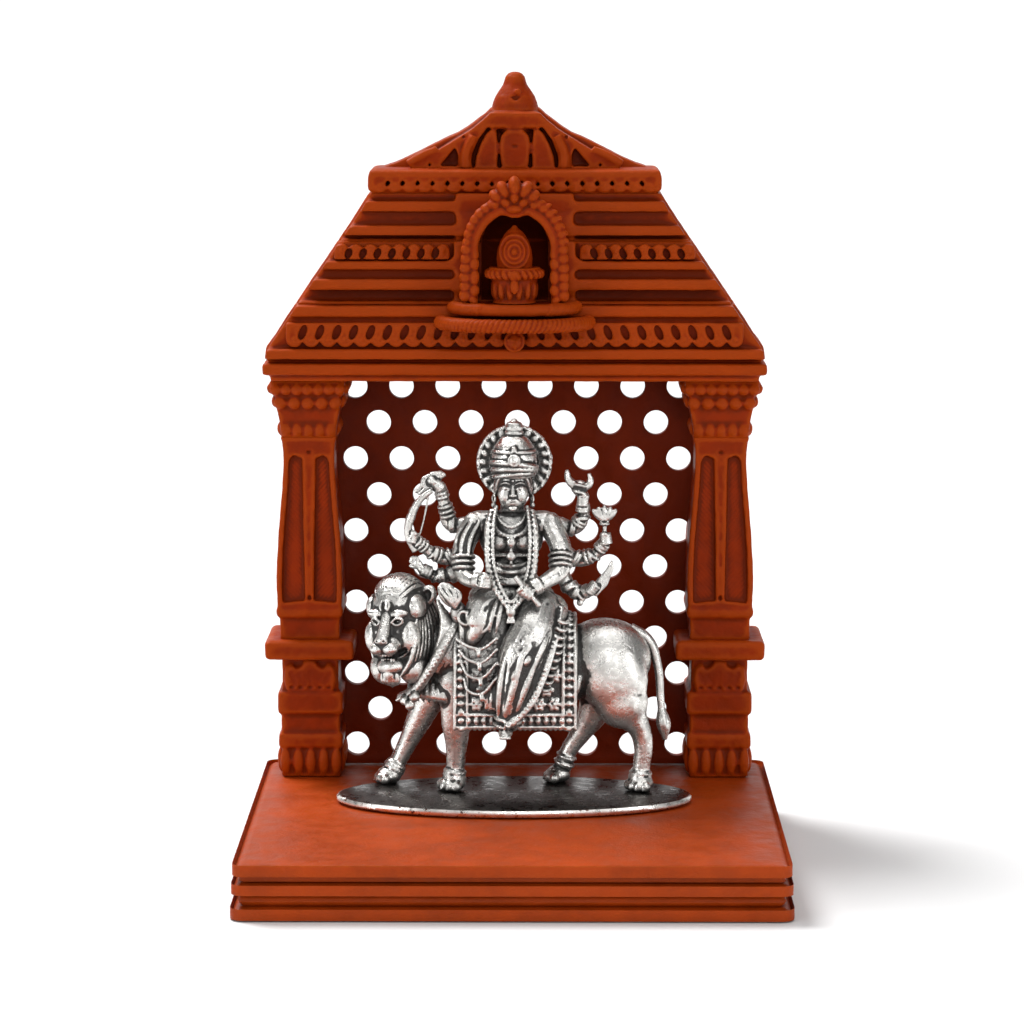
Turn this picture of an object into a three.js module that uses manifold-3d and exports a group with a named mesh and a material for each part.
// A small two-part shrine ornament: a moulded temple on a stepped plinth, and a cast
// figurine of a goddess seated on a lion that stands on the plinth in front of it.
// Millimetres. X to the right, Y to the back, Z up. The origin is the middle of the
// underside of the plinth.
import * as THREE from "three";
import { mergeVertices } from "three/addons/utils/BufferGeometryUtils.js";
import Module from "manifold-3d";

// ---------------------------------------------------------------- driving dimensions

const GAP = 0.3; // clearance between two pieces that touch on the real object

// Plinth
const PLINTH_WIDTH = 93.6;
const PLINTH_DEPTH = 83;
const PLINTH_TOP = 9.15;
const PLINTH_CORNER = 2.2;

// Pillars
const PILLAR_X = 37.4;
const PILLAR_FRONT = 26; // front face of a pillar where it is HALF_WIDTH wide
const PILLAR_BACK = 41;
const PILLAR_HALF_WIDTH = 5.9;
const TRAY_BOTTOM = 31.7;
const TRAY_TOP = 34.7;
const SHAFT_TOP = 71.9;
const CAPITAL_TOP = 82.3;

// Perforated back panel
const PANEL_HALF_WIDTH = 34.5;
const PANEL_FRONT = 37;
const PANEL_BACK = 39;
const PANEL_TOP = 84.2;
const DOT_RADIUS = 2.25;
const DOT_PITCH_X = 8.5;
const DOT_PITCH_Z = 6.7;
const DOT_ROWS = 11;
const DOT_TOP_ROW = 80.2;
const DOT_LEFT_LONG_ROW = -29.4;
const DOT_LEFT_SHORT_ROW = -25.1;

// Roof
const ROOF_BACK = 41;
const LINTEL_BOTTOM = 82.6;
const LINTEL_TOP = 85.9;
const CREST_SLAB_BOTTOM = 116;
const CREST_SLAB_TOP = 120.3;
const FINIAL_BOTTOM = 130.9;
const FINIAL_TOP = 137.6;
const FINIAL_Y = 35.6;

// Niche on the front of the roof
const NICHE_HALF_WIDTH = 6.4;
const NICHE_RIM = 3.2;
const NICHE_FLOOR = 97.6;
const NICHE_SPRING = 107;
const NICHE_FRONT = 16.5;
const NICHE_WALL = 26.6;
const SHELF_BACK = 21.9;
const LINGAM_Y = 19.2;

// Figurine
const PLATE_RADIUS_X = 31.6;
const PLATE_RADIUS_Y = 14.1;
const PLATE_Y = 6.8;
const PLATE_THICKNESS = 1.3;
const PLATE_TOP = PLINTH_TOP + GAP + PLATE_THICKNESS;
const SOLE = PLATE_TOP + GAP; // underside of the lion's paws
const LION_Y = 12.5;
const SADDLE_HALF_DEPTH = 8.2;
const SADDLE_THICKNESS = 1;
const SADDLE_SPRING = 33.9;
const SADDLE_HEM = 22.9;

// ---------------------------------------------------------------- materials

const finish = (name, color, roughness, metalness) =>
  Object.assign(new THREE.MeshStandardMaterial({ color, roughness, metalness }), { name });
const terracotta = () => finish("terracotta", 0xb2451c, 0.48, 0);
const panelBrown = () => finish("panel_brown", 0x6e2415, 0.55, 0);
const whiteMetal = () => finish("white_metal", 0xb9b6ae, 0.28, 1);
const plateMetal = () => finish("plate_metal", 0x57524d, 0.35, 1);

// ---------------------------------------------------------------- joining and cutting

const wasm = await Module();
wasm.setup();

function toSolid(geometry) {
  const bare = geometry.clone();
  bare.deleteAttribute("normal");
  bare.deleteAttribute("uv");
  const merged = mergeVertices(bare, 1e-4);
  const vertProperties = new Float32Array(merged.attributes.position.array);
  const triVerts = new Uint32Array(merged.index.array);
  return new wasm.Manifold(new wasm.Mesh({ numProp: 3, vertProperties, triVerts }));
}

function toGeometry(solid) {
  const mesh = solid.getMesh();
  const geometry = new THREE.BufferGeometry();
  geometry.setAttribute("position", new THREE.BufferAttribute(mesh.vertProperties, 3));
  geometry.setIndex(new THREE.BufferAttribute(mesh.triVerts, 1));
  geometry.computeVertexNormals();
  return geometry;
}

const join = (...geometries) =>
  toGeometry(geometries.map(toSolid).reduce((whole, next) => whole.add(next)));

const cut = (geometry, ...tools) =>
  toGeometry(tools.map(toSolid).reduce((rest, tool) => rest.subtract(tool), toSolid(geometry)));

// ---------------------------------------------------------------- basic shapes

function box(x0, x1, y0, y1, z0, z1) {
  const geometry = new THREE.BoxGeometry(x1 - x0, y1 - y0, z1 - z0);
  return geometry.translate((x0 + x1) / 2, (y0 + y1) / 2, (z0 + z1) / 2);
}

function ellipsoid([x, y, z], [rx, ry, rz], grow = 0, around = 12, down = 8) {
  const geometry = new THREE.SphereGeometry(1, around, down);
  geometry.rotateX(Math.PI / 2);
  geometry.scale(rx + grow, ry + grow, rz + grow);
  return geometry.translate(x, y, z);
}

// A limb with round ends through knots [x, y, z, radius], as one skin of rings.
function limb(knots, grow = 0) {
  const sides = 8;
  const points = knots.map(([x, y, z]) => new THREE.Vector3(x, y, z));
  const rings = [];
  points.forEach((point, i) => {
    const along = points[Math.min(i + 1, points.length - 1)].clone();
    along.sub(points[Math.max(i - 1, 0)]).normalize();
    const radius = knots[i][3] + grow;
    const cap = (way) => ({ along, radius: radius * 0.7, centre: point.clone()
      .addScaledVector(along, way * radius * 0.7) });
    if (i === 0) rings.push(cap(-1));
    rings.push({ along, radius, centre: point });
    if (i === points.length - 1) rings.push(cap(1));
  });
  const positions = [];
  for (const { along, radius, centre } of rings) {
    const across = new THREE.Vector3(0, 1, 0).cross(along).normalize();
    const other = along.clone().cross(across);
    for (let side = 0; side < sides; side++) {
      const angle = (side / sides) * 2 * Math.PI;
      const place = centre.clone()
        .addScaledVector(across, radius * Math.cos(angle))
        .addScaledVector(other, radius * Math.sin(angle));
      positions.push(...place.toArray());
    }
  }
  return closeRings(positions, rings.length, sides);
}

// A tube of constant radius along a smooth curve through the points.
function tube(points, radius, steps, closed = false) {
  const path = new THREE.CatmullRomCurve3(points.map((p) => new THREE.Vector3(...p)), closed);
  const section = new THREE.Shape();
  section.absarc(0, 0, radius, 0, 2 * Math.PI);
  return new THREE.ExtrudeGeometry(section, { steps, extrudePath: path, curveSegments: 4 });
}

// An outline drawn in X and Z, extruded from the front towards the back.
function upright(shape, front, back, curveSegments = 8) {
  const settings = { depth: back - front, bevelEnabled: false, curveSegments };
  const geometry = new THREE.ExtrudeGeometry(shape, settings);
  return geometry.rotateX(Math.PI / 2).translate(0, back, 0);
}

const outline = (points) => new THREE.Shape(points.map(([x, z]) => new THREE.Vector2(x, z)));

// Closes a run of rings, each of the same number of convex points, into one body.
function closeRings(positions, rings, around) {
  const index = [];
  for (let ring = 1; ring < rings; ring++) {
    for (let i = 0; i < around; i++) {
      const j = (i + 1) % around;
      const [a, b] = [(ring - 1) * around + i, (ring - 1) * around + j];
      index.push(a, b, b + around, a, b + around, a + around);
    }
  }
  const last = (rings - 1) * around;
  for (let i = 1; i < around - 1; i++) {
    index.push(0, i + 1, i, last, last + i, last + i + 1);
  }
  const geometry = new THREE.BufferGeometry();
  geometry.setAttribute("position", new THREE.Float32BufferAttribute(positions, 3));
  geometry.setIndex(index);
  geometry.computeVertexNormals();
  return geometry;
}

// A block built up of levels [z, half width, front, back] with rounded corners.
function stack(levels, radius, cornerSteps, x = 0) {
  const corners = [[1, 1], [-1, 1], [-1, -1], [1, -1]];
  const positions = [];
  for (const [z, half, front, back] of levels) {
    corners.forEach(([sx, sy], quarter) => {
      const cx = sx * (half - radius);
      const cy = sy > 0 ? back - radius : front + radius;
      for (let step = 0; step <= cornerSteps; step++) {
        const angle = (quarter + step / cornerSteps) * (Math.PI / 2);
        positions.push(x + cx + radius * Math.cos(angle), cy + radius * Math.sin(angle), z);
      }
    });
  }
  return closeRings(positions, levels.length, 4 * (cornerSteps + 1));
}

const lathe = (profile, x, y, around = 16) =>
  new THREE.LatheGeometry(profile.map(([r, z]) => new THREE.Vector2(r, z)), around)
    .rotateX(Math.PI / 2)
    .translate(x, y, 0);

// ---------------------------------------------------------------- the assembly

const shrine = new THREE.Group();
const temple = new THREE.Group();
const figurine = new THREE.Group();
shrine.add(temple, figurine);

function add(group, name, geometry, material) {
  const mesh = new THREE.Mesh(geometry, material);
  mesh.name = name;
  group.add(mesh);
}

// ---------------------------------------------------------------- plinth

// Three flat slabs with a groove between each two.
function plinth() {
  const half = PLINTH_WIDTH / 2;
  const deep = PLINTH_DEPTH / 2;
  const level = (z, inset) => [z, half - inset, -deep + inset, deep - inset];
  return stack([
    level(0, 0), level(2, 0),
    level(2, 1.1), level(4.1, 1.1),
    level(4.1, 0.2), level(6.1, 0.2),
    level(6.1, 1.2), level(7.55, 1.2),
    level(7.55, 0.4), level(PLINTH_TOP, 0.4),
  ], PLINTH_CORNER, 3);
}

add(temple, "base_plinth", plinth(), terracotta());

// ---------------------------------------------------------------- pillars

// The groove that holds the back panel, cut into every piece the panel reaches.
const panelGroove = () =>
  box(-PANEL_HALF_WIDTH - GAP, PANEL_HALF_WIDTH + GAP, PANEL_FRONT - GAP, PANEL_BACK + GAP,
    PLINTH_TOP, PANEL_TOP + GAP);

// One pillar piece from pairs of [z, half width]; its front swells as its sides do.
function pillarPiece(side, profile) {
  const levels = profile.map(([z, half]) =>
    [z, half, PILLAR_FRONT + PILLAR_HALF_WIDTH - half, PILLAR_BACK]);
  return cut(stack(levels, 0.6, 1, side * PILLAR_X), panelGroove());
}

const FOOT = [
  [PLINTH_TOP + GAP, 6.05], [14.8, 6.05], [14.8, 5.8], [17.3, 5.8], [17.3, 5.4], [21.1, 5.4],
  [21.1, 5.9], [25.1, 5.9], [25.1, 5.15], [TRAY_BOTTOM - GAP, 5.15],
];
const TRAY = [[TRAY_BOTTOM, 7.2], [TRAY_BOTTOM + 1, 8.2], [TRAY_TOP - 0.4, 8.2], [TRAY_TOP, 7.8]];
const SHAFT = [
  [TRAY_TOP + GAP, 5.45], [39.2, 5.45], [40.4, 5.6], [46.3, 6], [53, 5.7], [60, 5.1],
  [66.4, 4.65], [SHAFT_TOP, 4.8],
];
const CAPITAL = [
  [SHAFT_TOP + GAP, 5.1], [73.4, 5.5], [74.8, 5.4], [74.8, 5.75], [77.2, 5.75], [77.4, 6.5],
  [79.9, 6.5], [80.1, 7.3], [CAPITAL_TOP, 7.3],
];

for (const [label, side] of [["left", -1], ["right", 1]]) {
  add(temple, `${label}_pillar_foot`, pillarPiece(side, FOOT), terracotta());
  add(temple, `${label}_pillar_tray`, pillarPiece(side, TRAY), terracotta());
  add(temple, `${label}_pillar_shaft`, pillarPiece(side, SHAFT), terracotta());
  add(temple, `${label}_pillar_capital`, pillarPiece(side, CAPITAL), terracotta());
}

// ---------------------------------------------------------------- perforated back panel

function backPanel() {
  const bottom = PLINTH_TOP + GAP;
  const sheet = outline([
    [-PANEL_HALF_WIDTH, bottom], [PANEL_HALF_WIDTH, bottom],
    [PANEL_HALF_WIDTH, PANEL_TOP], [-PANEL_HALF_WIDTH, PANEL_TOP],
  ]);
  for (let row = 0; row < DOT_ROWS; row++) {
    const longRow = row % 2 === 0;
    const z = DOT_TOP_ROW - row * DOT_PITCH_Z;
    const start = longRow ? DOT_LEFT_LONG_ROW : DOT_LEFT_SHORT_ROW;
    for (let column = 0; column < (longRow ? 8 : 7); column++) {
      const dot = new THREE.Path();
      dot.absarc(start + column * DOT_PITCH_X, z, DOT_RADIUS, 0, 2 * Math.PI, true);
      sheet.holes.push(dot);
    }
  }
  return upright(sheet, PANEL_FRONT, PANEL_BACK, 5);
}

add(temple, "back_panel", backPanel(), panelBrown());

// ---------------------------------------------------------------- roof

// A roof piece from levels [z, half width, front]; the back is flat.
const roofPiece = (levels) =>
  stack(levels.map(([z, half, front]) => [z, half, front, ROOF_BACK]), 0.5, 1);

const nicheBay = () => box(-10, 10, 0, NICHE_WALL, 96.2, CREST_SLAB_BOTTOM);

add(temple, "lintel", cut(roofPiece([
  [LINTEL_BOTTOM, 43.9, 22.8], [83.7, 43.9, 22.8], [83.7, 45.3, 21.6], [LINTEL_TOP, 45.3, 21.6],
]), panelGroove()), terracotta());

add(temple, "roof_lower_tier", roofPiece([
  [LINTEL_TOP + GAP, 44.6, 22], [86.6, 44.6, 22], [86.6, 45.3, 21.3], [88.4, 45, 21.3],
  [88.4, 43.4, 24], [93.4, 40.6, 24.4], [94.3, 40, 24.4], [94.3, 39.6, 22.6], [96.1, 39, 22.6],
]), terracotta());

add(temple, "roof_middle_tier", cut(roofPiece([
  [96.4, 38.2, 24.8], [99, 37, 24.8], [99, 37, 23.6], [100.8, 36, 23.6],
  [100.8, 35.4, 25.6], [102.6, 34.6, 25.6], [102.6, 34.8, 24.6], [104, 34, 24.6],
  [104, 33.4, 26.4], [107.4, 31.8, 26.4],
]), nicheBay()), terracotta());

add(temple, "roof_upper_tier", cut(roofPiece([
  [107.7, 31.2, 26.4], [108.7, 30.8, 26.4], [108.7, 30.9, 25.4], [110.3, 30, 25.4],
  [110.3, 29.4, 27.4], [113, 28.2, 27.4], [113, 28.4, 26.2], [114.6, 27.6, 26.2],
  [114.6, 27, 27.6], [CREST_SLAB_BOTTOM - GAP, 26.6, 27.6],
]), nicheBay()), terracotta());

add(temple, "crest_slab", roofPiece([
  [CREST_SLAB_BOTTOM, 26, 27.2], [118, 26.4, 27.2], [119.4, 26.4, 26.6],
  [CREST_SLAB_TOP, 25.6, 26.6],
]), terracotta());

// The gable above the slab, with hollow slopes that run up to the finial.
add(temple, "crest", roofPiece([
  [CREST_SLAB_TOP + GAP, 25, 28.4], [122.4, 19.3, 29], [124.5, 14.9, 29.6],
  [126.7, 10.2, 30.3], [128.8, 7, 31], [FINIAL_BOTTOM - GAP, 4.3, 31.6],
]), terracotta());

add(temple, "finial", lathe([
  [0, FINIAL_BOTTOM], [4, FINIAL_BOTTOM], [3.6, 132.8], [2.8, 134.2], [2, 135.3],
  [1.8, 136.2], [1.1, 137.2], [0, FINIAL_TOP],
], 0, FINIAL_Y), terracotta());

// A row of drop-shaped dentils hanging from a thin bar.
function frieze(left, right, bottom, top, count, front, back) {
  const pitch = (right - left) / count;
  const root = top - (top - bottom) * 0.35;
  const tip = bottom + pitch * 0.3;
  const edge = [[right, top], [left, top]];
  for (let tooth = 0; tooth < count; tooth++) {
    const x = left + tooth * pitch;
    edge.push([x, root], [x + pitch * 0.18, root], [x + pitch * 0.18, tip],
      [x + pitch * 0.5, bottom], [x + pitch * 0.82, tip], [x + pitch * 0.82, root]);
  }
  edge.push([right, root]);
  return upright(outline(edge), front, back);
}

add(temple, "lower_frieze", frieze(-41, 41, 88.8, 93.2, 27, 22.4, 23.7), terracotta());
add(temple, "middle_frieze_left", frieze(-32.4, -11.6, 104.4, 107.2, 8, 24.9, 26.1),
  terracotta());
add(temple, "middle_frieze_right", frieze(11.6, 32.4, 104.4, 107.2, 8, 24.9, 26.1),
  terracotta());
add(temple, "crest_frieze", frieze(-25.4, 25.4, 116.4, 119.2, 18, 25.2, 26.3), terracotta());

const disc = new THREE.CylinderGeometry(1.6, 1.6, 1.3, 12).translate(0, 21.4, 90.4);
add(temple, "roof_medallion", disc, terracotta());

// ---------------------------------------------------------------- niche with its lingam

// A half-round shelf, flat at the back.
function shelf(halfWidth, depth, bottom, top) {
  const shape = new THREE.Shape();
  shape.absellipse(0, 0, halfWidth, depth, Math.PI, 2 * Math.PI);
  const settings = { depth: top - bottom, bevelEnabled: false, curveSegments: 14 };
  return new THREE.ExtrudeGeometry(shape, settings).translate(0, SHELF_BACK, bottom);
}

add(temple, "niche_lower_shelf", shelf(13.8, 9.6, 92.2, 94.7), terracotta());
add(temple, "niche_upper_shelf", shelf(11.4, 8, 95, 97.3), terracotta());

// An arch on two jambs, with a five-lobed flower at its crown.
function nicheArch() {
  const outer = NICHE_HALF_WIDTH + NICHE_RIM;
  const shape = new THREE.Shape();
  shape.moveTo(-outer, NICHE_FLOOR);
  shape.lineTo(-NICHE_HALF_WIDTH, NICHE_FLOOR);
  shape.lineTo(-NICHE_HALF_WIDTH, NICHE_SPRING);
  shape.absarc(0, NICHE_SPRING, NICHE_HALF_WIDTH, Math.PI, 0, true);
  shape.lineTo(NICHE_HALF_WIDTH, NICHE_FLOOR);
  shape.lineTo(outer, NICHE_FLOOR);
  shape.lineTo(outer, NICHE_SPRING - 1.5);
  shape.absarc(0, NICHE_SPRING - 1.5, outer, 0, Math.PI, false);
  const arch = upright(shape, NICHE_FRONT, NICHE_WALL - GAP, 10);
  const lobes = [-2, -1, 0, 1, 2].map((place) => {
    const tilt = place * 0.55;
    const centre = [3 * Math.sin(tilt), NICHE_FRONT + 4, 114.6 + 3.2 * Math.cos(tilt)];
    return ellipsoid(centre, [1.7, 3.2, 2.2], 0, 8, 6);
  });
  return join(arch, ...lobes);
}

add(temple, "niche_arch", nicheArch(), terracotta());
add(temple, "lingam_pedestal", lathe([
  [0, NICHE_FLOOR], [3.3, NICHE_FLOOR], [3.4, 98.6], [4.3, 101.4], [4.85, 101.7],
  [4.85, 103.2], [4.4, 103.6], [0, 103.6],
], 0, LINGAM_Y), terracotta());
add(temple, "lingam", lathe([
  [0, 103.9], [3.1, 103.9], [3.1, 106.5], [2.4, 108.9], [1.1, 110.4], [0, 110.9],
], 0, LINGAM_Y), terracotta());

// ---------------------------------------------------------------- the lion

add(figurine, "oval_plate", new THREE.CylinderGeometry(1, 1, PLATE_THICKNESS, 40)
  .rotateX(Math.PI / 2)
  .scale(PLATE_RADIUS_X, PLATE_RADIUS_Y, 1)
  .translate(0, PLATE_Y, PLATE_TOP - PLATE_THICKNESS / 2), plateMetal());

// Each leg ends in a paw that stands on the plate.
const LEGS = [
  { knots: [[-9.5, 9.6, 27, 3.2], [-10.3, 9.8, 17, 1.8], [-10.8, 10, 13.4, 1.7]], paw: [-11, 9.6] },
  { knots: [[-14, 15.4, 27, 3.2], [-18.6, 15.8, 18, 1.9], [-21.4, 16, 13.4, 1.7]], paw: [-22.6, 15.6] },
  { knots: [[19.2, 9.8, 31, 4.4], [20, 9.8, 24, 2.7], [23, 9.9, 20.4, 1.8], [22.4, 9.9, 13.4, 1.8]],
    paw: [22.4, 9.5] },
  { knots: [[15.6, 15.2, 29, 4], [13.4, 15.8, 21.4, 2.1], [9.6, 16.2, 16.6, 1.7], [8.6, 16.6, 13.2, 1.6]],
    paw: [7.8, 16.6] },
];

function leg({ knots, paw }, grow) {
  const toes = ellipsoid([...paw, SOLE + 1], [3.1, 2.8, 1.9], grow, 10, 6);
  return join(limb(knots, grow), toes);
}

function lionBody(grow = 0) {
  const floor = box(-40, 40, -20, 40, 0, SOLE - grow);
  const body = join(
    ellipsoid([3.5, LION_Y, 33.4], [15, 6.5, 7.2], grow),
    ellipsoid([17, LION_Y, 33], [7.6, 6.6, 7.2], grow),
    ellipsoid([-8.5, LION_Y, 33], [7.2, 6.4, 7.8], grow),
    ...LEGS.map((each) => leg(each, grow)),
  );
  return cut(body, floor);
}

function lionHead(grow = 0) {
  return join(
    ellipsoid([-19.2, 10.6, 39], [6.7, 7.2, 10.3], grow, 14, 10),
    ellipsoid([-21.6, 4.6, 35], [3.2, 3.2, 3.4], grow, 8, 6),
  );
}

add(figurine, "lion_body", cut(lionBody(), lionHead(GAP)), whiteMetal());
add(figurine, "lion_head", lionHead(), whiteMetal());

const tail = () => limb([
  [24.4, LION_Y, 37.4, 1], [25.9, LION_Y, 33, 0.9], [26.4, 12, 26, 0.9], [27, 11.6, 20, 1.3],
]);
add(figurine, "lion_tail", cut(tail(), lionBody(GAP)), whiteMetal());

// ---------------------------------------------------------------- the saddle cloth

// A solid arch along the lion's back, of the cloth's outer shape grown by a margin.
function saddleBlock(grow, left, right, hem) {
  const radius = SADDLE_HALF_DEPTH + grow;
  const shape = new THREE.Shape();
  shape.moveTo(-radius, hem);
  shape.lineTo(radius, hem);
  shape.lineTo(radius, SADDLE_SPRING);
  shape.absarc(0, SADDLE_SPRING, radius, 0, Math.PI, false);
  return upright(shape, left, right, 10).rotateZ(-Math.PI / 2).translate(0, LION_Y, 0);
}

add(figurine, "saddle_cloth", cut(
  saddleBlock(0, -10.8, 11.2, SADDLE_HEM),
  saddleBlock(-SADDLE_THICKNESS, -12, 12, SADDLE_HEM - 1),
  lionHead(GAP), lionBody(GAP),
), whiteMetal());

// ---------------------------------------------------------------- the seated goddess

const MIDLINE = -0.4; // X of the goddess's body
const SEAT_Y = 10.2; // Y of the goddess's body

const saddleClear = () => saddleBlock(GAP, -11.2, 11.6, SADDLE_HEM - GAP);

function skirt(grow = 0) {
  const body = join(
    ellipsoid([MIDLINE, SEAT_Y, 44.6], [8.4, 6.2, 3.9], grow),
    limb([[4.4, 5.4, 43, 3.2], [1.8, 2.6, 38.4, 3.2], [0.6, 1.8, 31, 2.8], [-0.6, 1.8, 25, 2.1],
      [-1.2, 1.2, 22.6, 1.3]], grow),
    limb([[-5.6, 6.2, 43.4, 2.8], [-5.2, 3, 40.6, 2.2], [0, 1.6, 41.8, 2]], grow),
  );
  return cut(body, saddleClear());
}

function torso(grow = 0) {
  return join(
    ellipsoid([MIDLINE, SEAT_Y, 50.6], [4.8, 3.2, 4.2], grow),
    ellipsoid([MIDLINE, SEAT_Y, 56.6], [5.9, 3.6, 5.2], grow),
    limb([[MIDLINE, SEAT_Y, 59, 1.9], [MIDLINE, SEAT_Y - 0.2, 61.4, 1.7]], grow),
  );
}

const head = (grow = 0) => ellipsoid([0, SEAT_Y - 0.6, 65.3], [3.2, 3.3, 4.3], grow, 14, 10);
const crown = () => lathe([
  [0, 67.4], [3.6, 67.4], [4, 68.6], [4, 70], [3.4, 72.4], [2.2, 74.2], [1.3, 74.8],
  [1.7, 75.8], [1.2, 76.8], [0, 77.5],
], 0, SEAT_Y - 0.4, 14);

add(figurine, "goddess_skirt", skirt(), whiteMetal());
add(figurine, "goddess_torso", cut(torso(), skirt(GAP), head(GAP)), whiteMetal());
add(figurine, "goddess_head", head(), whiteMetal());
add(figurine, "crown", cut(crown(), head(GAP)), whiteMetal());

const haloDisc = new THREE.CylinderGeometry(6.8, 6.8, 1.2, 24)
  .translate(0, SEAT_Y + 4.6, 69.2);
add(figurine, "halo", haloDisc, whiteMetal());

add(figurine, "garland", cut(tube([
  [-2.4, 7.2, 60], [-3.2, 5.4, 55.6], [-2.6, 5.2, 51], [-0.4, 3.6, 48.2],
  [1.8, 5.2, 51], [2.4, 5.4, 55.6], [1.6, 7.2, 60],
], 0.7, 18), torso(GAP), skirt(GAP)), whiteMetal());

// Each arm starts at the shoulder; what its hand holds is cast with it.
const ARMS = {
  front_left_arm: [[[-7.2, 9.4, 58.6, 2], [-8.9, 7.4, 50.4, 1.7], [-5.4, 3, 49.4, 1.3]]],
  front_right_arm: [[[6.4, 9.4, 58.6, 2], [8.2, 7.4, 50.8, 1.7], [2.6, 2.2, 48.6, 1.3]]],
  upper_left_arm_with_axe: [
    [[-8.6, 13, 58.4, 1.4], [-11.4, 13.2, 58, 1.3], [-13.4, 12, 65, 1]],
    [[-17.2, 11.6, 64.2, 0.6], [-12.6, 11.6, 67.4, 0.9]],
  ],
  middle_left_arm_with_bow: [
    [[-8.6, 13, 54.2, 1.4], [-14.4, 12, 53, 1.2], [-17.6, 10.8, 55.6, 1.2]],
    [[-15.6, 10.6, 61.6, 0.5], [-18.6, 10.6, 58.4, 0.6], [-17.4, 10.6, 53.4, 0.5]],
  ],
  lower_left_arm: [[[-8.8, 12.4, 50, 1.4], [-13.6, 12, 48.8, 1.3], [-17, 11, 50.6, 1.2]]],
  upper_right_arm_with_conch: [
    [[8.2, 13, 58.4, 1.4], [11.4, 13, 57.8, 1.3], [12.2, 11.8, 62.2, 1.1]],
    [[12.2, 11.4, 63.4, 1], [11, 11.4, 67, 0.8]],
  ],
  middle_right_arm_with_lotus: [
    [[8.4, 13, 53.8, 1.4], [14, 12.4, 52.6, 1.2], [16.6, 11.4, 55.6, 1.1]],
    [[16, 11.4, 57, 0.6], [16.6, 11.4, 61, 1.1]],
  ],
  lower_right_arm_with_dagger: [
    [[8.6, 12.6, 49.6, 1.3], [11.4, 11.8, 46, 1.2], [13.6, 11, 47, 1]],
    [[13.6, 11, 46.6, 0.8], [17, 11, 51.4, 0.6]],
  ],
};

for (const [name, chains] of Object.entries(ARMS)) {
  const arm = join(...chains.map((knots) => limb(knots)));
  add(figurine, name, cut(arm, torso(GAP), skirt(GAP)), whiteMetal());
}

export default shrine;
